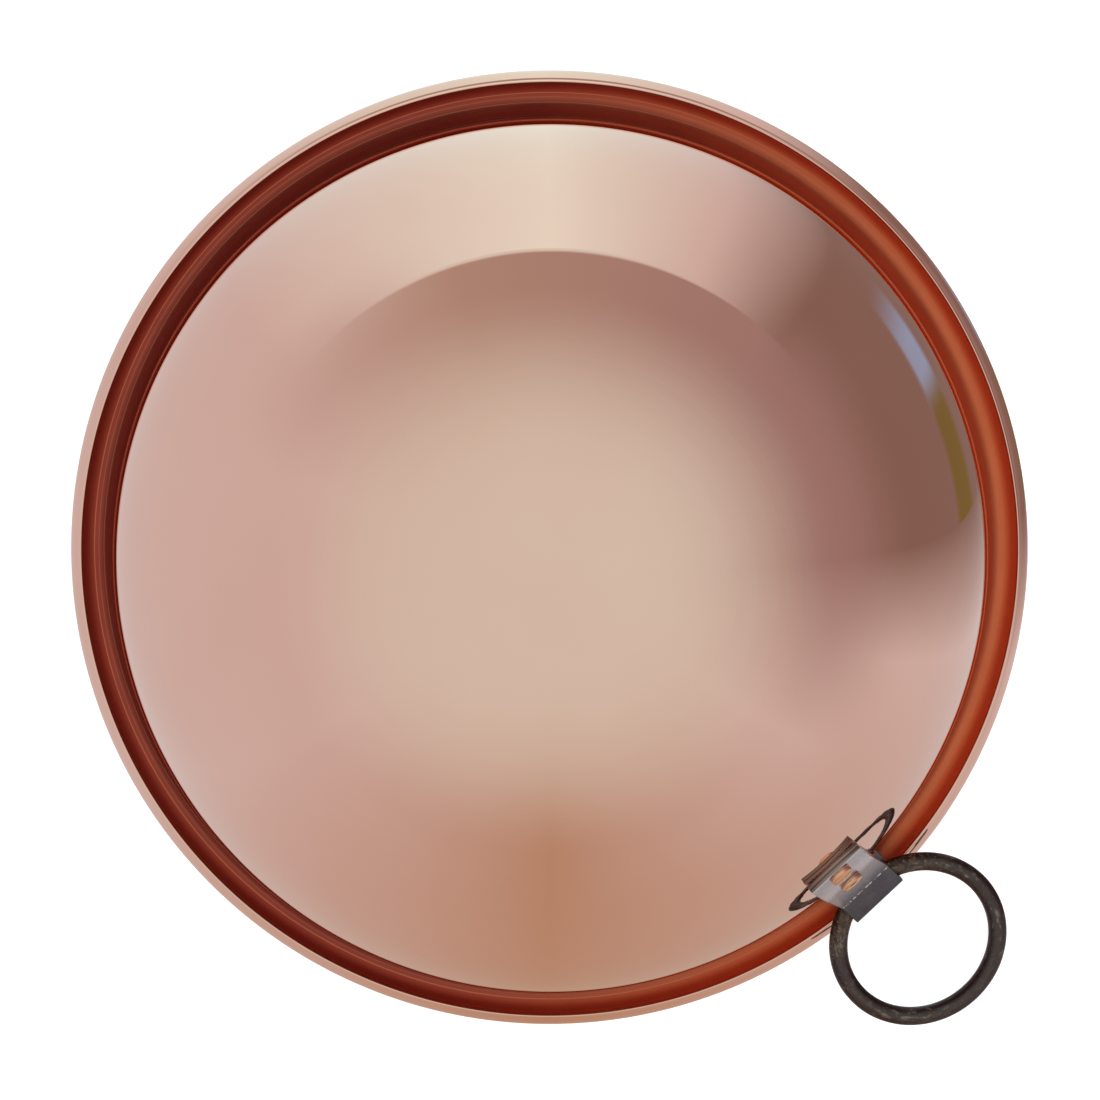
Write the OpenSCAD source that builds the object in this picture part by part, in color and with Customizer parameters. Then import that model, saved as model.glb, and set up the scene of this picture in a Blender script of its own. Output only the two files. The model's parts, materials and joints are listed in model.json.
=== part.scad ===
// Hemispherical copper mixing bowl with a rolled rim, stood rim down.
// A folded steel strap is riveted to its side and holds a loose steel ring.
// Z is up and is the bowl's axis, Z = 0 is the plane that the rim rests on,
// and the strap and the ring point along +X.

/* [Bowl] */
// Inside diameter of the hemisphere
bowl_inner_d = 260; // [220:1:320]
// Thickness of the copper sheet
sheet_t = 1.2; // [0.8:0.1:1.4]
// Height of the hemisphere's centre above the resting plane
centre_z = 18.6; // [17:0.1:20]

/* [Rolled rim] */
// Outside diameter of the open roll
roll_d = 15.8; // [14:0.1:15.8]
// Angle above the horizontal at which the roll's outer edge is cut off
roll_cut_angle = 58; // [30:1:58]

/* [Strap] */
// Width of the steel strip
strap_w = 19; // [15:0.5:19]
// Thickness of the steel strip
strap_t = 1.2; // [1:0.1:1.2]
// Distance from the side of the bowl to the strip's outermost face
strap_reach = 14.3; // [14.3:0.1:15.5]
// Height of the strip's underside, where it crosses the rolled rim
strap_underside_z = 14.75; // [14.65:0.05:14.75]
// Height at which the face above the ring meets the outer leg
crease_z = 29.8; // [29.8:0.1:31]
// Elevation of the strap's upper end, seen from the hemisphere's centre
strap_end_elevation = 28.3; // [28:0.1:32]

/* [Rivets] */
// Elevation of the upper rivet
upper_rivet_elevation = 26.4; // [26:0.1:26.4]
// Elevation of the lower rivet
lower_rivet_elevation = 19.2; // [19.2:0.1:21]
// Diameter of the rivet shanks
shank_d = 3.6; // [3:0.1:4]
// Diameter of the rivet heads on the strap
outer_head_d = 7.1; // [6:0.1:7.2]
// Height of the rivet heads on the strap
outer_head_h = 2; // [1:0.1:2]
// Diameter of the rivet heads inside the bowl
inner_head_d = 8; // [6:0.1:10]
// Height of the rivet heads inside the bowl
inner_head_h = 1.3; // [1:0.1:2]

/* [Ring] */
// Diameter of the ring through the middle of its bar
ring_mid_d = 50.4; // [50:0.2:54]
// Diameter of the round bar
ring_bar_d = 5.7; // [5:0.1:5.7]
// Angle that the ring hangs below the horizontal
ring_droop = 13.8; // [12:0.1:13.8]
// Distance from the side of the bowl to the bar's middle, under the strap
pivot_reach = 7.95; // [7.8:0.05:7.95]
// Height of the bar's middle, under the strap
pivot_z = 19.35; // [19.35:0.05:19.5]

/* [Hidden] */
$fn = 96;
copper = [0.80, 0.52, 0.42];
steel = [0.52, 0.53, 0.57];
iron = [0.21, 0.19, 0.18];

inner_r = bowl_inner_d / 2;
outer_r = inner_r + sheet_t;
roll_r = roll_d / 2;
roll_x = inner_r + roll_r;           // radius of the middle of the roll

// The strip's layers, by the radius of their middle about the hemisphere's centre
layer_gap = 0.05;
strap_half = strap_t / 2;
inner_leg_r = outer_r + 2 * layer_gap + strap_half;
outer_leg_r = inner_leg_r + strap_t + layer_gap;

// Corners of the strip's middle line, as [radius, height] in the plane Y = 0
bottom_z = strap_underside_z + strap_half;
front_x = outer_r + strap_reach - strap_half;
face_run = 8;                        // horizontal run of the 45 degree face
crease = [front_x - face_run, crease_z];
shoulder = [front_x, crease_z - face_run];
bend_steps = 8;                      // facets in each bend
leg_steps = 12;                      // facets along each leg

// The outer leg runs straight from the crease until it meets the inner leg
crease_rel = crease - [0, centre_z];
leave_elevation = atan2(crease_rel.y, crease_rel.x)
                + acos(outer_leg_r / norm(crease_rel));

shank_clearance = 0.02;
head_edge_r = 0.7;                   // rounding of the rivet heads' edges
weld = 0.4;                          // depth that joined shapes share

function unit(v) = v / norm(v);
function leg_point(r, e) = [0, centre_z] + r * [cos(e), sin(e)];
function leg(r, from, to) =
    [for (i = [0 : leg_steps]) leg_point(r, from + (to - from) * i / leg_steps)];

// Points of the round corner of radius r that replaces the sharp corner b
function bend(a, b, c, r) =
    let (to_a = unit(a - b), to_c = unit(c - b),
         half_turn = acos(-to_a * to_c) / 2,
         middle = b + unit(to_a + to_c) * r / cos(half_turn),
         start = b + to_a * r * tan(half_turn) - middle,
         stop = b + to_c * r * tan(half_turn) - middle,
         from = atan2(start.y, start.x),
         raw = atan2(stop.y, stop.x) - from,
         swing = raw > 180 ? raw - 360 : raw < -180 ? raw + 360 : raw)
    [for (i = [0 : bend_steps])
        middle + r * [cos(from + swing * i / bend_steps), sin(from + swing * i / bend_steps)]];

leg_foot = [inner_leg_r, centre_z];
back_corner = [inner_leg_r, bottom_z];
front_corner = [front_x, bottom_z];
leave_point = leg_point(outer_leg_r, leave_elevation);
strip_line = concat(
    leg(inner_leg_r, strap_end_elevation, 0),
    bend(leg_foot, back_corner, front_corner, 1.4),
    bend(back_corner, front_corner, shoulder, 2.2),
    bend(front_corner, shoulder, crease, 1.6),
    bend(shoulder, crease, leave_point, 1.2),
    leg(outer_leg_r, leave_elevation, strap_end_elevation)
);

// Points at a distance d to the left of each point of a line
function beside(line, d) =
    [for (i = [0 : len(line) - 1])
        let (last = len(line) - 1,
             way = unit(line[min(i + 1, last)] - line[max(i - 1, 0)]))
        line[i] + d * [-way.y, way.x]];
function backwards(line) = [for (i = [len(line) - 1 : -1 : 0]) line[i]];

// Places its children on the hemisphere's radius at an elevation, with Z outwards
module at_elevation(e) {
    translate([0, 0, centre_z])
        rotate([0, 90 - e, 0])
            children();
}

module rivet_holes() {
    for (e = [upper_rivet_elevation, lower_rivet_elevation])
        at_elevation(e)
            translate([0, 0, inner_r - 5])
                cylinder(r = shank_d / 2 + shank_clearance, h = 20, $fn = 48);
}

// Half section of the solid that the dome's skin of radius r closes off
module dome_half(r) {
    translate([0, centre_z])
        circle(r);
    translate([0, roll_r])
        square([r, centre_z - roll_r]);
}

module bowl_section() {
    intersection() {
        difference() {
            dome_half(outer_r);
            dome_half(inner_r);
        }
        translate([0, roll_r])
            square(2 * outer_r);
    }
    far = 2 * roll_r;
    translate([roll_x, roll_r])
        difference() {
            circle(roll_r);
            circle(roll_r - sheet_t);
            polygon([[0, 0], [-far, 0], [-far, far],
                     far * [cos(roll_cut_angle), sin(roll_cut_angle)]]);
        }
}

module bowl_shell() {
    color(copper)
        difference() {
            rotate_extrude($fn = 192) bowl_section();
            rivet_holes();
        }
}

module hanger_strap() {
    color(steel)
        difference() {
            rotate([90, 0, 0])
                linear_extrude(height = strap_w, center = true)
                    polygon(concat(beside(strip_line, strap_half),
                                   backwards(beside(strip_line, -strap_half))));
            rivet_holes();
        }
}

module round_edged_head(d, h) {
    flat_r = d / 2 - head_edge_r;
    rotate_extrude($fn = 64) {
        square([flat_r, h]);
        square([d / 2, h - head_edge_r]);
        translate([flat_r, h - head_edge_r])
            circle(head_edge_r, $fn = 48);
    }
}

module rivet(elevation) {
    inside = sqrt(pow(inner_r, 2) - pow(inner_head_d / 2, 2)) - layer_gap;
    outside = outer_leg_r + strap_half + layer_gap;
    color(copper)
        at_elevation(elevation) {
            translate([0, 0, inside - weld])
                cylinder(d = shank_d, h = outside - inside + 2 * weld, $fn = 48);
            translate([0, 0, outside])
                round_edged_head(outer_head_d, outer_head_h);
            translate([0, 0, inside])
                mirror([0, 0, 1])
                    round_edged_head(inner_head_d, inner_head_h);
        }
}

module rivet_upper() {
    rivet(upper_rivet_elevation);
}

module rivet_lower() {
    rivet(lower_rivet_elevation);
}

module hanging_ring() {
    color(iron)
        translate([outer_r + pivot_reach, 0, pivot_z])
            rotate([0, ring_droop, 0])
                translate([ring_mid_d / 2, 0, 0])
                    rotate_extrude()
                        translate([ring_mid_d / 2, 0])
                            circle(d = ring_bar_d, $fn = 48);
}

bowl_shell();
hanger_strap();
rivet_upper();
rivet_lower();
hanging_ring();
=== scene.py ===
"""Copper mixing bowl with a hanging ring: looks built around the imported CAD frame. Metres, +Z up."""
import json
import math

import bpy
from mathutils import Matrix, Vector, noise


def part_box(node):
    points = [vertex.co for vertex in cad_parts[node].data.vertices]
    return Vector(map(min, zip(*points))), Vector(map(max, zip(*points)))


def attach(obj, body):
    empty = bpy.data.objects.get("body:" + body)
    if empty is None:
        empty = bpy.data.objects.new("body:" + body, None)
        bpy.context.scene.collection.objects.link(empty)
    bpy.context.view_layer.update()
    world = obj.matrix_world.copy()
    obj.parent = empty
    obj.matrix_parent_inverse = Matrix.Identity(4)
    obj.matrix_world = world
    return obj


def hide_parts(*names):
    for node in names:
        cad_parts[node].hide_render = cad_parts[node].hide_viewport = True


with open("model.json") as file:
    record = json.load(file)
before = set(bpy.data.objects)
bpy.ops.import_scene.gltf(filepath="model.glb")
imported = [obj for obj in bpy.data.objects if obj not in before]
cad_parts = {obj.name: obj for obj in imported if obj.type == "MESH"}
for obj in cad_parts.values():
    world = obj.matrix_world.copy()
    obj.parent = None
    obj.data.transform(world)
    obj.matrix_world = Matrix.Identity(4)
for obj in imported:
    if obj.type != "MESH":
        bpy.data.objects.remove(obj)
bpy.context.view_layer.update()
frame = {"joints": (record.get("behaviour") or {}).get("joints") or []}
MM = 0.001

# ---------------------------------------------------------------- sizes, from the frame and the design
BOWL_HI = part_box("bowl_shell")[1]
SHEET = 1.2 * MM                      # thickness of the copper
INNER_R = 130 * MM
OUTER_R = INNER_R + SHEET
CENTRE_Z = BOWL_HI.z - OUTER_R        # height of the hemisphere's centre
ROLL_R = (BOWL_HI.y - INNER_R) / 2    # outer radius of the rolled rim's section
ROLL_X = INNER_R + ROLL_R             # distance of the roll's middle from the axis
ROLL_CUT = math.radians(58)           # the roll stops this far above the horizontal
ROLL_EDGE = 0.3 * MM                  # rounding of the roll's cut edge
BUFFED_Z = 17 * MM                    # the buff reaches the neck down to here
UNBUFFED_Z = 9 * MM                   # and not at all below here

STRAP_W = 19 * MM
STRAP_T = 1.2 * MM
STRAP_EDGE = 0.28 * MM                # rounding of the strip's edges
STRAP_END = math.radians(28.3)        # elevation of the strap's upper end
BOWL_GAP = 0.1 * MM                   # between the bowl and the inner leg
LEG_GAP = 0.05 * MM                   # between the two legs
LEG_IN_R = OUTER_R + BOWL_GAP + STRAP_T / 2
LEG_OUT_R = LEG_IN_R + STRAP_T + LEG_GAP
STRAP_REACH = 14.3 * MM               # from the side of the bowl to the strip's outermost face
UNDERSIDE_Z = 14.75 * MM              # where the strip crosses the rolled rim
FRONT_X = OUTER_R + STRAP_REACH - STRAP_T / 2
BOTTOM_Z = UNDERSIDE_Z + STRAP_T / 2
SLOPE = 8 * MM                        # the face above the ring slopes back this far, over this height
CREASE = Vector((FRONT_X - SLOPE, 29.8 * MM))
SHOULDER = Vector((FRONT_X, CREASE.y - SLOPE))
CENTRE = Vector((0, CENTRE_Z))
TO_CREASE = CREASE - CENTRE
LEAVE = math.atan2(TO_CREASE.y, TO_CREASE.x) + math.acos(LEG_OUT_R / TO_CREASE.length)
LEAVE_Z = CENTRE_Z + LEG_OUT_R * math.sin(LEAVE)   # the outer leg leaves the bowl here

RIVET_ELEVATIONS = {"rivet_upper": 26.4, "rivet_lower": 19.2}   # degrees
HEAD_R = 3.55 * MM
HEAD_H = 2.0 * MM
HEAD_EDGE = 0.9 * MM                  # rounding of the outer heads' edges
INNER_HEAD_R = 4.0 * MM
INNER_HEAD_H = 1.3 * MM
INNER_HEAD_EDGE = 0.7 * MM
HEAD_CROWN = 0.5 * MM                 # how much a head's face bulges
HEAD_GAP = 0.05 * MM                  # between a head and what it holds
SHANK_R = 1.8 * MM

PIVOT = Vector(frame["joints"][0]["pos_m"])
BAR_R = 2.85 * MM
RING_R = 25.2 * MM
DROOP = math.radians(13.8)
RING_AXIS = Vector((math.sin(DROOP), 0, math.cos(DROOP)))
SEAM = math.pi + math.radians(29)     # angle round the ring; the bar under the strap is at 180 degrees
CRUST_X = (143 * MM, 153 * MM)        # the bar is crusted below the first and clean above the second

# The studio's directions: the strap's azimuth is 0, the picture's right is 46.4 degrees on from it
RIGHT_AZIMUTH = math.radians(46.4)
STUDIO_RIGHT = Vector((math.cos(RIGHT_AZIMUTH), math.sin(RIGHT_AZIMUTH), 0))
STUDIO_UP = Vector((-math.sin(RIGHT_AZIMUTH), math.cos(RIGHT_AZIMUTH), 0))
CAMERA_TILT = math.radians(4.7)       # from straight above
CAMERA_AZIMUTH = math.radians(143)
CAMERA_DISTANCE = 1.07
CAMERA_LENS = 114.8                   # millimetres, on a sensor 36 wide
AIM_Z = 7.3 * MM
AIM_UP = 0.6 * MM                     # the picture's middle is this far above the bowl's axis

# ---------------------------------------------------------------- colours, in linear light
COPPER_TONES = ((0.935, 0.640, 0.540), (0.915, 0.612, 0.512))   # a pair is the clear and the cloudy tone
# Tarnish tones for painted light and shade on the roll: the first is the painted shade side, the second
# the painted light side.
TARNISH_PAINTED_SHADE = (0.40, 0.075, 0.052)
TARNISH_PAINTED_LIGHT = (0.76, 0.185, 0.080)
TARNISH_STREAK = (0.70, 0.22, 0.11)
RIVET_TONES = ((0.93, 0.56, 0.36), (0.74, 0.36, 0.20))
LEG_TONES = ((0.68, 0.71, 0.81), (0.60, 0.63, 0.72))
# Painted shade: the slope tones darken the free part of the outer leg, the fold tones darken everything
# below the crease.
SLOPE_PAINTED_SHADE_TONES = ((0.38, 0.38, 0.45), (0.32, 0.32, 0.38))
FOLD_PAINTED_SHADE_TONES = ((0.155, 0.155, 0.185), (0.110, 0.110, 0.135))
STRAP_GRAIN = (0.84, 0.85, 0.90)
STRAP_CUT = (0.30, 0.25, 0.23)
# Painted glint: the light dots along the crease.
STRAP_PAINTED_GLINT = (0.97, 0.96, 0.97)
OXIDE_TONES = ((0.042, 0.031, 0.033), (0.060, 0.045, 0.046))
# Painted highlight along the bar's crests.
OXIDE_CREST_HIGHLIGHT = (0.118, 0.092, 0.087)
OXIDE_CRUST = (0.150, 0.105, 0.075)
OXIDE_RUBBED = (0.25, 0.205, 0.185)
OXIDE_CHIPPED = (0.46, 0.39, 0.33)
FLOOR_PAINT = (0.82, 0.82, 0.82)
WHITE = (1, 1, 1)


# ---------------------------------------------------------------- node helpers
class Nodes:
    """Short calls for a node tree: each returns the new node's output socket."""

    def __init__(self, tree):
        self.tree = tree
        tree.nodes.clear()

    def add(self, kind, **settings):
        """A new node, the only call here that returns the node itself."""
        node = self.tree.nodes.new(kind)
        for key, value in settings.items():
            setattr(node, key, value)
        return node

    def put(self, value, socket):
        """Links a socket or sets a constant."""
        if isinstance(value, bpy.types.NodeSocket):
            self.tree.links.new(value, socket)
        else:
            socket.default_value = value

    def math(self, operation, a, b=0.0, c=0.0):
        node = self.add("ShaderNodeMath", operation=operation)
        for value, socket in zip((a, b, c), node.inputs):
            self.put(value, socket)
        return node.outputs[0]

    def product(self, first, *others):
        for other in others:
            first = self.math("MULTIPLY", first, other)
        return first

    def length(self, a, b):
        return self.math("SQRT", self.math("ADD", self.product(a, a), self.product(b, b)))

    def dot(self, vector, constant):
        node = self.add("ShaderNodeVectorMath", operation="DOT_PRODUCT")
        self.put(vector, node.inputs[0])
        node.inputs[1].default_value = constant
        return node.outputs["Value"]

    def scaled(self, vector, factors):
        node = self.add("ShaderNodeVectorMath", operation="MULTIPLY")
        self.put(vector, node.inputs[0])
        node.inputs[1].default_value = factors
        return node.outputs[0]

    def split(self, vector):
        """The sockets for X, Y and Z."""
        node = self.add("ShaderNodeSeparateXYZ")
        self.put(vector, node.inputs[0])
        return tuple(node.outputs)

    def joined(self, x, y, z):
        node = self.add("ShaderNodeCombineXYZ")
        for value, socket in zip((x, y, z), node.inputs):
            self.put(value, socket)
        return node.outputs[0]

    def step(self, value, low, high):
        """A smooth step from 0 to 1 as value goes from low to high; high may be the lesser of the two."""
        node = self.add("ShaderNodeMapRange", interpolation_type="SMOOTHSTEP")
        for number, socket in zip((value, low, high), node.inputs):
            self.put(number, socket)
        return node.outputs[0]

    def band(self, value, rise, fall):
        """1 between two smooth steps, each given by the values where it is 0 and where it is 1."""
        return self.product(self.step(value, *rise), self.step(value, *fall))

    def blend(self, factor, a, b):
        """A number: a where factor is 0, b where it is 1."""
        node = self.add("ShaderNodeMix", data_type="FLOAT")
        sockets = (node.inputs["Factor"], node.inputs[2], node.inputs[3])
        for value, socket in zip((factor, a, b), sockets):
            self.put(value, socket)
        return node.outputs[0]

    def mix(self, factor, a, b):
        """A colour: a where factor is 0, b where it is 1."""
        node = self.add("ShaderNodeMix", data_type="RGBA")
        self.put(factor, node.inputs["Factor"])
        sockets = [s for s in node.inputs if s.type == "RGBA"]
        for colour, socket in zip((a, b), sockets):
            self.put(colour if isinstance(colour, bpy.types.NodeSocket) else (*colour, 1), socket)
        return [s for s in node.outputs if s.type == "RGBA"][0]

    def ramp(self, factor, stops):
        node = self.add("ShaderNodeValToRGB")
        elements = node.color_ramp.elements
        while len(elements) > 1:
            elements.remove(elements[-1])
        for i, (place, colour) in enumerate(stops):
            element = elements[0] if i == 0 else elements.new(place)
            element.position = place
            element.color = (*colour, 1)
        self.put(factor, node.inputs[0])
        return node.outputs[0]

    def noise(self, where, scale, detail=2.0, roughness=0.5, dimensions="3D"):
        node = self.add("ShaderNodeTexNoise", noise_dimensions=dimensions)
        self.put(where, node.inputs["W" if dimensions == "1D" else "Vector"])
        node.inputs["Scale"].default_value = scale
        node.inputs["Detail"].default_value = detail
        node.inputs["Roughness"].default_value = roughness
        return node.outputs[0]

    def noise_line(self, number, scale, detail=2.0, roughness=0.5):
        """Noise that changes along one number only."""
        return self.noise(number, scale, detail, roughness, "1D")

    def bump(self, height, distance, strength, normal=None):
        node = self.add("ShaderNodeBump")
        node.inputs["Strength"].default_value = strength
        node.inputs["Distance"].default_value = distance
        self.put(height, node.inputs["Height"])
        if normal is not None:
            self.put(normal, node.inputs["Normal"])
        return node.outputs[0]

    def place(self):
        """The point being shaded, in the row frame at rest."""
        return self.add("ShaderNodeTexCoord").outputs["Object"]


def material(name, paint):
    """A material whose surface shader paint(nodes, shader) sets up."""
    made = bpy.data.materials.new(name)
    made.use_nodes = True
    nodes = Nodes(made.node_tree)
    shader = nodes.add("ShaderNodeBsdfPrincipled")
    output = nodes.add("ShaderNodeOutputMaterial")
    made.node_tree.links.new(shader.outputs[0], output.inputs["Surface"])
    paint(nodes, shader)
    return made


# ---------------------------------------------------------------- materials
def unbuffed(nodes, across, height, from_roll):
    """1 on the inner face of the roll and on the low part of the neck that it hides from the buff."""
    in_roll = nodes.step(from_roll, ROLL_R - 0.6 * SHEET, ROLL_R - 0.9 * SHEET)
    outer_face = nodes.step(across, INNER_R + 0.9 * SHEET, INNER_R + SHEET)
    beside_wall = nodes.step(across, ROLL_X, ROLL_X - MM)
    low = nodes.step(height, BUFFED_Z, UNBUFFED_Z)
    return nodes.math("MAXIMUM", in_roll, nodes.product(outer_face, low, beside_wall))


def paint_copper(nodes, shader):
    """Spun copper: mirror polished outside, red-brown in the roll, where no buff reaches; the red-brown
    carries painted light and shade, lighter towards the studio's right.
    """
    place = nodes.place()
    x, y, height = nodes.split(place)
    across = nodes.length(x, y)
    arc_angle = nodes.math("ARCTAN2", across, nodes.math("SUBTRACT", height, CENTRE_Z))
    out = nodes.math("SUBTRACT", across, ROLL_X)
    up = nodes.math("SUBTRACT", height, ROLL_R)
    dull = unbuffed(nodes, across, height, nodes.length(out, up))

    cloud = nodes.noise(place, scale=14, detail=3)
    stain = nodes.noise(place, scale=60, detail=4, roughness=0.6)
    swell = nodes.noise_line(arc_angle, scale=36)
    spin_marks = nodes.noise_line(arc_angle, scale=700, roughness=0.7)
    streaks = nodes.noise_line(nodes.math("ARCTAN2", up, out), scale=7, detail=4, roughness=0.65)

    polished = nodes.mix(nodes.step(cloud, 0.35, 0.7), *COPPER_TONES)
    # Painted light and shade: the tarnish goes from dark to light towards the studio's right, broken up
    # by the stains.
    painted_light_side = nodes.dot(place, (STUDIO_RIGHT * 0.98 - STUDIO_UP * 0.10) / ROLL_X)
    painted_light_side = nodes.step(nodes.math("MULTIPLY_ADD", stain, 0.5, painted_light_side), -0.2, 1.2)
    tarnish_and_painted_light = nodes.mix(painted_light_side, TARNISH_PAINTED_SHADE, TARNISH_PAINTED_LIGHT)
    tarnish_and_painted_light = nodes.mix(nodes.step(streaks, 0.50, 0.72), tarnish_and_painted_light, TARNISH_STREAK)
    nodes.put(nodes.mix(dull, polished, tarnish_and_painted_light), shader.inputs["Base Color"])
    nodes.put(nodes.blend(dull, 1, 0.86), shader.inputs["Metallic"])
    mirror_finish = nodes.math("MULTIPLY_ADD", spin_marks, 0.014, 0.014)
    raw_finish = nodes.math("MULTIPLY_ADD", stain, 0.16, 0.30)
    nodes.put(nodes.blend(dull, mirror_finish, raw_finish), shader.inputs["Roughness"])
    rings = nodes.bump(swell, distance=0.02 * MM, strength=0.5)
    nodes.put(nodes.bump(cloud, distance=0.4 * MM, strength=0.08, normal=rings), shader.inputs["Normal"])


def paint_rivet(nodes, shader):
    """Bright copper, hammered and tumbled, so a little softer than the bowl."""
    place = nodes.place()
    cloud = nodes.noise(place, scale=500, detail=3)
    hammered = nodes.noise(place, scale=700)
    nodes.put(nodes.mix(cloud, *RIVET_TONES), shader.inputs["Base Color"])
    shader.inputs["Metallic"].default_value = 1
    nodes.put(nodes.math("MULTIPLY_ADD", cloud, 0.08, 0.05), shader.inputs["Roughness"])
    nodes.put(nodes.bump(hammered, distance=0.05 * MM, strength=0.4), shader.inputs["Normal"])


def paint_strap(nodes, shader):
    """Rolled steel strip: pale blue-grey legs, painted shade on the free slope, darker painted shade
    below the crease round the ring, and painted glints along the crease.
    """
    place = nodes.place()
    x, y, z = nodes.split(place)
    grain = nodes.noise(nodes.scaled(place, (1, 14, 1)), scale=210, detail=4, roughness=0.6)
    cloud = nodes.noise(place, scale=240, detail=4, roughness=0.6)
    cloudy = nodes.step(cloud, 0.2, 0.8)
    leg, slope_painted_shade, fold_painted_shade = (nodes.mix(cloudy, *tones) for tones in (LEG_TONES, SLOPE_PAINTED_SHADE_TONES, FOLD_PAINTED_SHADE_TONES))

    # Painted shade: the strip is painted darker below where the outer leg leaves the bowl.
    leg_fade = 5 * MM
    base = nodes.mix(nodes.step(z, LEAVE_Z + leg_fade, LEAVE_Z - leg_fade), leg, slope_painted_shade)
    base = nodes.mix(nodes.step(grain, 0.58, 0.95), base, STRAP_GRAIN)
    bend_z = CREASE.y + 0.35 * MM               # outer face of the bend at the crease
    fold_fade = 0.25 * MM
    # Painted shade below the crease, darkest of all.
    base = nodes.mix(nodes.step(z, bend_z + fold_fade, bend_z - fold_fade), base, fold_painted_shade)
    elevation = nodes.math("ARCTAN2", nodes.math("SUBTRACT", z, CENTRE_Z), x)
    end_starts, end_full = 0.0022, 0.0008       # radians short of the strap's end
    cut_end = nodes.step(elevation, STRAP_END - end_starts, STRAP_END - end_full)
    base = nodes.mix(cut_end, base, STRAP_CUT)

    # Painted glints: light dots along the bend's outer face at the crease; on the ring the same name
    # holds real rubbed wear.
    from_bend = nodes.math("ABSOLUTE", nodes.math("SUBTRACT", z, bend_z))
    on_bend = nodes.step(from_bend, 0.42 * MM, 0.18 * MM)
    dots = nodes.step(nodes.noise_line(y, scale=780, detail=1), 0.46, 0.56)
    outer_face = nodes.step(x, CREASE.x - 2 * MM, CREASE.x - MM)
    wear_and_glints = nodes.product(on_bend, dots, outer_face)
    nodes.put(nodes.mix(wear_and_glints, base, STRAP_PAINTED_GLINT), shader.inputs["Base Color"])
    shader.inputs["Metallic"].default_value = 1
    nodes.put(nodes.math("MULTIPLY_ADD", grain, 0.18, 0.18), shader.inputs["Roughness"])
    skin = nodes.bump(grain, distance=0.03 * MM, strength=0.2)
    nodes.put(nodes.bump(cloud, distance=0.06 * MM, strength=0.15, normal=skin), shader.inputs["Normal"])


def paint_ring(nodes, shader):
    """Blackened steel bar: thin oxide with a soft gloss, a painted highlight along its crests, rubbed,
    and crusted near the strap.
    """
    place = nodes.place()
    x, y, z = nodes.split(place)
    from_middle = nodes.math("SUBTRACT", x, PIVOT.x + RING_R * math.cos(DROOP))
    turn = nodes.math("ARCTAN2", y, from_middle)
    stretch = 9 * MM                            # streaks run along the bar, about 3 times their width
    drawn = nodes.joined(nodes.product(turn, stretch), nodes.length(from_middle, y), z)
    skin = nodes.noise(place, scale=650, detail=5, roughness=0.6)
    streaks = nodes.noise(drawn, scale=620, detail=4, roughness=0.6)
    specks = nodes.noise(place, scale=1300, detail=4, roughness=0.7)
    patches = nodes.noise(place, scale=75)

    off_plane = nodes.math("SUBTRACT", nodes.dot(place, RING_AXIS), PIVOT.dot(RING_AXIS))
    crest = nodes.math("DIVIDE", nodes.math("ABSOLUTE", off_plane), BAR_R)
    crusted = nodes.step(x, CRUST_X[1], CRUST_X[0])
    # Painted highlight: the bar's crests are painted lighter, broken by the drawn streaks.
    painted_crest_highlight = nodes.product(nodes.step(crest, 0.62, 0.97), nodes.math("MULTIPLY_ADD", streaks, 0.9, 0.1))
    wear_and_glints = nodes.product(nodes.step(streaks, 0.54, 0.70), nodes.step(patches, 0.42, 0.60))
    loose = nodes.math("MULTIPLY_ADD", crusted, 0.55, 0.25)
    chipped = nodes.product(nodes.step(specks, 0.60, 0.68), loose)

    oxide = nodes.mix(nodes.step(skin, 0.3, 0.75), *OXIDE_TONES)
    oxide = nodes.mix(painted_crest_highlight, oxide, OXIDE_CREST_HIGHLIGHT)
    oxide = nodes.mix(nodes.product(crusted, nodes.step(skin, 0.4, 0.6)), oxide, OXIDE_CRUST)
    oxide = nodes.mix(wear_and_glints, oxide, OXIDE_RUBBED)
    nodes.put(nodes.mix(chipped, oxide, OXIDE_CHIPPED), shader.inputs["Base Color"])
    shader.inputs["Metallic"].default_value = 1
    gloss = nodes.math("MULTIPLY_ADD", skin, 0.20, 0.22)
    nodes.put(nodes.math("MULTIPLY_ADD", crusted, 0.18, gloss), shader.inputs["Roughness"])
    crust = nodes.bump(skin, distance=0.10 * MM, strength=0.30)
    drawn_skin = nodes.bump(streaks, distance=0.06 * MM, strength=0.4, normal=crust)
    nodes.put(drawn_skin, shader.inputs["Normal"])


def paint_floor(nodes, shader):
    """Plain white studio floor, with a glow that keeps it near white."""
    nodes.put((*FLOOR_PAINT, 1), shader.inputs["Base Color"])
    nodes.put(0.7, shader.inputs["Roughness"])
    nodes.put((*WHITE, 1), shader.inputs["Emission Color"])
    nodes.put(0.45, shader.inputs["Emission Strength"])


COPPER = material("polished_copper", paint_copper)
RIVET_COPPER = material("rivet_copper", paint_rivet)
STRAP_STEEL = material("strap_steel", paint_strap)
RING_STEEL = material("blackened_steel", paint_ring)
FLOOR_WHITE = material("floor_white", paint_floor)


# ---------------------------------------------------------------- mesh helpers
def add_mesh(name, verts, faces, surface):
    mesh = bpy.data.meshes.new(name)
    mesh.from_pydata([tuple(v) for v in verts], [], faces)
    mesh.materials.append(surface)
    made = bpy.data.objects.new(name, mesh)
    bpy.context.scene.collection.objects.link(made)
    return made


def piece(name, verts, faces, surface, body, node):
    """A smooth-shaded mesh object that stands for a CAD node and rides on its body."""
    made = add_mesh(name, verts, faces, surface)
    made.data.validate()
    made.data.polygons.foreach_set("use_smooth", [True] * len(made.data.polygons))
    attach(made, body)
    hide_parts(node)
    return made


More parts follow.
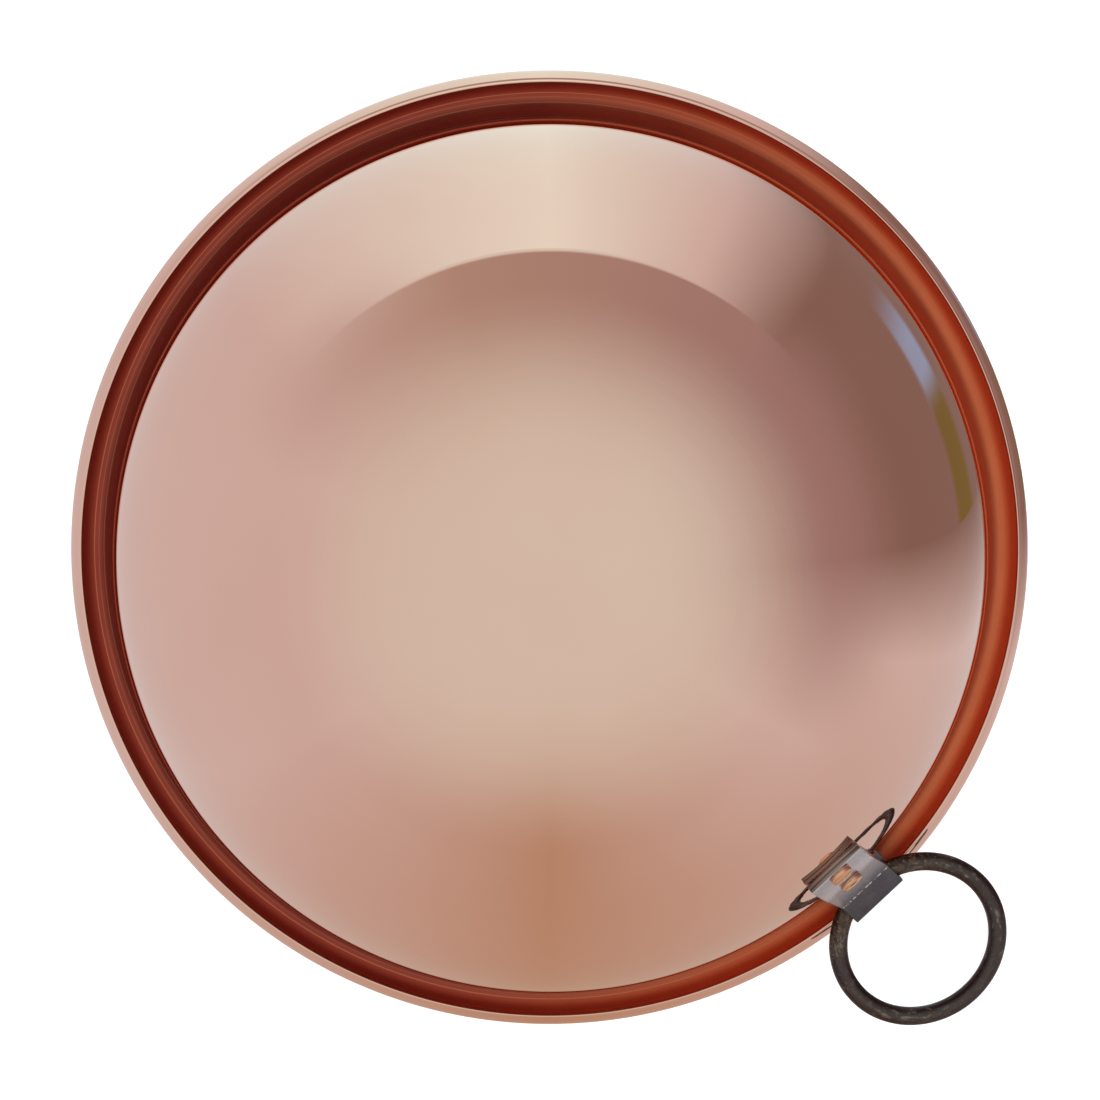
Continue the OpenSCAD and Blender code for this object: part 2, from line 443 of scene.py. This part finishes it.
def arc(centre, radius, start, stop, steps):
    """Points (distance from the axis, height) along an arc, from start to stop in radians."""
    return [
        Vector((centre[0] + radius * math.cos(a), centre[1] + radius * math.sin(a)))
        for a in (start + (stop - start) * i / steps for i in range(steps + 1))
    ]


def lathe(profile, segments):
    """Vertices and faces of a profile turned about Z. Profile points on the axis become poles."""
    on_axis = 1e-9
    verts, rows = [], []
    for point in profile:
        if point.x < on_axis:
            rows.append([len(verts)] * segments)
            verts.append(Vector((0, 0, point.y)))
            continue
        rows.append(list(range(len(verts), len(verts) + segments)))
        for i in range(segments):
            a = 2 * math.pi * i / segments
            verts.append(Vector((point.x * math.cos(a), point.x * math.sin(a), point.y)))
    faces = []
    for low, high in zip(rows, rows[1:]):
        for i in range(segments):
            j = (i + 1) % segments
            corners = [low[i], low[j], high[j], high[i]]
            faces.append([c for k, c in enumerate(corners) if c != corners[k - 1]])
    return verts, faces


def grid_faces(rows, columns, closed):
    """Four-sided faces of a grid of vertices whose columns close up, and whose rows may."""
    faces = []
    for i in range(rows if closed else rows - 1):
        k = (i + 1) % rows
        for j in range(columns):
            m = (j + 1) % columns
            faces.append([i * columns + j, i * columns + m, k * columns + m, k * columns + j])
    return faces


# ---------------------------------------------------------------- bowl
def roll_end():
    """The roll's rounded cut edge, from its outer face round to its inner one."""
    end = ROLL_CUT + 2 * math.pi
    outwards = Vector((math.cos(end), math.sin(end)))
    onwards = Vector((-math.sin(end), math.cos(end)))
    points = []
    for radius, start in ((ROLL_R - ROLL_EDGE, 0), (ROLL_R - SHEET + ROLL_EDGE, math.pi / 2)):
        middle = Vector((ROLL_X, ROLL_R)) + outwards * radius - onwards * ROLL_EDGE
        points += arc(middle, ROLL_EDGE, end + start, end + start + math.pi / 2, steps=5)
    return points


def make_bowl():
    """Inside of the hemisphere, round the outside of the roll, back through its inside, and outside."""
    roll = (ROLL_X, ROLL_R)
    end = ROLL_CUT + 2 * math.pi - ROLL_EDGE / ROLL_R
    profile = arc(CENTRE, INNER_R, math.pi / 2, 0, steps=56)
    profile += arc(roll, ROLL_R, math.pi, end, steps=64)
    profile += roll_end()
    profile += arc(roll, ROLL_R - SHEET, end, math.pi, steps=64)
    profile += arc(CENTRE, OUTER_R, 0, math.pi / 2, steps=72)
    verts, faces = lathe(profile, segments=288)
    return piece("bowl_skin", verts, faces, COPPER, "bowl", "bowl_shell")


# ---------------------------------------------------------------- strap
def bend(a, b, c, radius):
    """Points of the round corner that replaces the sharp corner b between a and c."""
    to_a = (a - b).normalized()
    to_c = (c - b).normalized()
    half = math.acos(-to_a.dot(to_c)) / 2
    middle = b + (to_a + to_c).normalized() * radius / math.cos(half)
    start = b + to_a * radius * math.tan(half) - middle
    stop = b + to_c * radius * math.tan(half) - middle
    first = math.atan2(start.y, start.x)
    swing = (math.atan2(stop.y, stop.x) - first + math.pi) % (2 * math.pi) - math.pi
    return arc(middle, radius, first, first + swing, steps=10)


def strap_line():
    """The strip's middle line in the plane Y = 0, from the inner leg's end round to the outer leg's."""
    foot = Vector((LEG_IN_R, CENTRE_Z))
    back = Vector((LEG_IN_R, BOTTOM_Z))
    front = Vector((FRONT_X, BOTTOM_Z))
    leaving = CENTRE + LEG_OUT_R * Vector((math.cos(LEAVE), math.sin(LEAVE)))
    slope_steps = 10
    line = arc(CENTRE, LEG_IN_R, STRAP_END, 0, steps=24)
    line += bend(foot, back, front, radius=1.4 * MM)
    line += bend(back, front, SHOULDER, radius=2.2 * MM)
    line += bend(front, SHOULDER, CREASE, radius=1.6 * MM)
    line += bend(SHOULDER, CREASE, leaving, radius=1.2 * MM)
    line += [CREASE.lerp(leaving, i / slope_steps) for i in range(1, slope_steps)]
    line += arc(CENTRE, LEG_OUT_R, LEAVE, STRAP_END, steps=14)
    return line


def strip_section():
    """Points (across, through) round the strip's section, corners rounded."""
    half_w = STRAP_W / 2 - STRAP_EDGE
    half_t = STRAP_T / 2 - STRAP_EDGE
    corners = ((half_w, half_t), (-half_w, half_t), (-half_w, -half_t), (half_w, -half_t))
    points = []
    for k, corner in enumerate(corners):
        points += arc(corner, STRAP_EDGE, k * math.pi / 2, (k + 1) * math.pi / 2, steps=4)
    return points


def make_strap():
    line = strap_line()
    section = strip_section()
    last = len(line) - 1
    count = len(section)
    verts = []
    for i, point in enumerate(line):
        along = (line[min(i + 1, last)] - line[max(i - 1, 0)]).normalized()
        out = Vector((-along.y, along.x))
        for w, t in section:
            spot = point + out * t
            verts.append(Vector((spot.x, w, spot.y)))
    faces = grid_faces(len(line), count, closed=False)
    faces.append(list(range(count - 1, -1, -1)))
    faces.append([last * count + j for j in range(count)])
    return piece("strap_strip", verts, faces, STRAP_STEEL, "bowl", "hanger_strap")


# ---------------------------------------------------------------- rivets
def head_profile(radius, height, edge, base, way):
    """From the axis over a low round-edged head to its foot at base; way is 1 outwards, -1 inwards."""
    steps = 8
    points = []
    for i in range(steps):
        r = (radius - edge) * i / steps
        points.append(Vector((r, base + way * (height - HEAD_CROWN * (r / radius) ** 2))))
    brim = height - HEAD_CROWN * ((radius - edge) / radius) ** 2
    for i in range(steps + 1):
        a = math.pi / 2 * (1 - i / steps)
        rise = brim - edge + edge * math.sin(a)
        points.append(Vector((radius - edge + edge * math.cos(a), base + way * rise)))
    points.append(Vector((radius, base)))
    return points


def make_rivet(node):
    elevation = math.radians(RIVET_ELEVATIONS[node])
    outside = LEG_OUT_R + STRAP_T / 2 + HEAD_GAP
    inside = math.sqrt(INNER_R ** 2 - INNER_HEAD_R ** 2) - HEAD_GAP
    profile = head_profile(INNER_HEAD_R, INNER_HEAD_H, INNER_HEAD_EDGE, inside, -1)
    profile += [Vector((SHANK_R, inside)), Vector((SHANK_R, outside))]
    profile += reversed(head_profile(HEAD_R, HEAD_H, HEAD_EDGE, outside, 1))
    verts, faces = lathe(profile, segments=64)
    lay = Matrix.Translation((0, 0, CENTRE_Z)) @ Matrix.Rotation(math.pi / 2 - elevation, 4, "Y")
    verts = [lay @ v for v in verts]
    return piece(node + "_copper", verts, faces, RIVET_COPPER, "bowl", node)


# ---------------------------------------------------------------- ring
def ring_angles():
    """Even steps round the ring, with closer ones across the seam."""
    even = 240
    clear = 0.4 * MM / RING_R
    angles = [2 * math.pi * i / even for i in range(even)]
    near_seam = [SEAM + offset * MM / RING_R for offset in (-0.34, -0.2, -0.1, 0, 0.1, 0.2, 0.34)]
    return sorted([a for a in angles if abs(a - SEAM) > clear] + near_seam)


def bar_radius(a, b):
    """The bar's radius, a round the ring and b round the bar: a little uneven, grooved at the seam."""
    evenness, waviness, groove_depth = 0.992, 0.012, 0.05    # parts of the bar's radius
    groove_w = 0.16 * MM
    around, across = 3, 0.7           # the waves mostly run round the ring
    spot = Vector((around * math.cos(a), around * math.sin(a), across * math.sin(b)))
    groove = groove_depth * math.exp(-((a - SEAM) * RING_R / groove_w) ** 2)
    return BAR_R * (evenness + waviness * noise.noise(spot) - groove)


def make_ring():
    """A round bar bent into a ring and closed by a butt seam beside the strap."""
    around = ring_angles()
    across = 32
    verts = []
    for a in around:
        for j in range(across):
            b = 2 * math.pi * j / across
            radius = bar_radius(a, b)
            r = RING_R + radius * math.cos(b)
            verts.append(Vector((r * math.cos(a), r * math.sin(a), radius * math.sin(b))))
    faces = [face[::-1] for face in grid_faces(len(around), across, closed=True)]
    droop = Matrix.Rotation(DROOP, 4, "Y")
    lay = Matrix.Translation(PIVOT) @ droop @ Matrix.Translation((RING_R, 0, 0))
    verts = [lay @ v for v in verts]
    return piece("ring_bar", verts, faces, RING_STEEL, "ring", "hanging_ring")


# ---------------------------------------------------------------- studio
def make_floor():
    half = 4.0
    corners = [(-half, -half, 0), (half, -half, 0), (half, half, 0), (-half, half, 0)]
    floor = add_mesh("floor", corners, [(0, 1, 2, 3)], FLOOR_WHITE)
    floor.visible_glossy = False      # the bowl mirrors the studio below the horizon instead


# What polished metal mirrors: a daylit room and a table, in a few broad tones.
# Places are directions clockwise from the picture's right, as fractions of a turn.
DAYLIGHT = (0.70, 0.75, 0.70)
PAPER = (0.85, 1.00, 0.95)
PALE = (0.65, 0.60, 0.60)
WARM = (0.50, 0.35, 0.25)
WALL = (0.45, 0.35, 0.30)
DUSK = (0.35, 0.25, 0.25)
SHADE = (0.25, 0.17, 0.15)
SKY = (0.30, 0.40, 0.60)
GARDEN = (0.20, 0.15, 0.05)
ROOM = (
    (0.00, DUSK), (0.10, PALE), (0.25, WARM), (0.40, PALE), (0.55, PALE),
    (0.70, WALL), (0.90, DUSK), (1.00, DUSK))
TABLE = (
    (0.00, SHADE), (0.05, PALE), (0.25, WARM), (0.40, PALE), (0.60, PALE),
    (0.75, PAPER), (0.83, PALE), (0.88, SHADE), (1.00, SHADE))


def paint_window(nodes, turn, height, painted):
    """A strip of sky and, beside it, a patch of garden, low on the shaded side."""
    low = nodes.band(height, (-0.85, -0.80), (-0.65, -0.70))
    painted = nodes.mix(nodes.product(low, nodes.band(turn, (0.90, 0.93), (0.96, 0.94))), painted, SKY)
    return nodes.mix(nodes.product(low, nodes.step(turn, 0.94, 0.96)), painted, GARDEN)


def make_studio():
    """The world that polished metal mirrors; everything else sees plain white."""
    world = bpy.data.worlds.new("studio")
    bpy.context.scene.world = world
    world.use_nodes = True
    nodes = Nodes(world.node_tree)
    way = nodes.add("ShaderNodeTexCoord").outputs["Generated"]
    height = nodes.dot(way, (0, 0, 1))
    down_picture = nodes.math("MULTIPLY", nodes.dot(way, STUDIO_UP), -1)
    angle = nodes.math("ARCTAN2", down_picture, nodes.dot(way, STUDIO_RIGHT))
    turn = nodes.math("FRACT", nodes.math("MULTIPLY", angle, 1 / (2 * math.pi)))

    far_side = nodes.band(turn, (0.60, 0.70), (0.90, 0.85))
    table_edge = nodes.step(height, 0.01, 0.04)
    gentle_edge = nodes.step(height, -0.30, 0.25)
    above = nodes.blend(far_side, gentle_edge, table_edge)
    room = nodes.mix(nodes.step(height, 0.20, 0.95), nodes.ramp(turn, ROOM), DAYLIGHT)
    painted = nodes.mix(above, nodes.ramp(turn, TABLE), room)
    painted = paint_window(nodes, turn, height, painted)

    path = nodes.add("ShaderNodeLightPath")
    background = nodes.add("ShaderNodeBackground")
    nodes.put(nodes.mix(path.outputs["Is Glossy Ray"], WHITE, painted), background.inputs["Color"])
    nodes.put(1, background.inputs["Strength"])
    output = nodes.add("ShaderNodeOutputWorld")
    world.node_tree.links.new(background.outputs[0], output.inputs["Surface"])


def make_light(name, place, size, power):
    """A soft square light that looks at the bowl and that no metal mirrors."""
    looks_at = Vector((0, 0, 0.05))
    data = bpy.data.lights.new(name, "AREA")
    data.shape = "SQUARE"
    data.size = size
    data.energy = power
    light = bpy.data.objects.new(name, data)
    light.location = place
    light.rotation_mode = "QUATERNION"
    light.rotation_quaternion = (looks_at - Vector(place)).to_track_quat("-Z", "Y")
    light.visible_glossy = False
    bpy.context.scene.collection.objects.link(light)


def make_camera():
    """Looks down on the crown, a few degrees off the axis."""
    sideways = Vector((math.cos(CAMERA_AZIMUTH), math.sin(CAMERA_AZIMUTH), 0))
    back = sideways * math.sin(CAMERA_TILT) + Vector((0, 0, math.cos(CAMERA_TILT)))
    side = (STUDIO_RIGHT - back * STUDIO_RIGHT.dot(back)).normalized()
    top = back.cross(side)
    target = Vector((0, 0, AIM_Z)) + top * AIM_UP
    turned = Matrix((side, top, back)).transposed().to_4x4()
    data = bpy.data.cameras.new("camera")
    data.sensor_width = 36
    data.lens = CAMERA_LENS
    camera = bpy.data.objects.new("camera", data)
    camera.matrix_world = Matrix.Translation(target + back * CAMERA_DISTANCE) @ turned
    bpy.context.scene.collection.objects.link(camera)
    bpy.context.scene.camera = camera


make_camera()
make_bowl()
make_strap()
for rivet_node in RIVET_ELEVATIONS:
    make_rivet(rivet_node)
make_ring()
make_floor()
make_studio()
make_light("key_light", place=(-0.9, 0.9, 1.6), size=1.2, power=14)
make_light("fill_light", place=(1.0, -0.8, 1.4), size=1.2, power=8)
bpy.context.scene.view_settings.view_transform = "Standard"
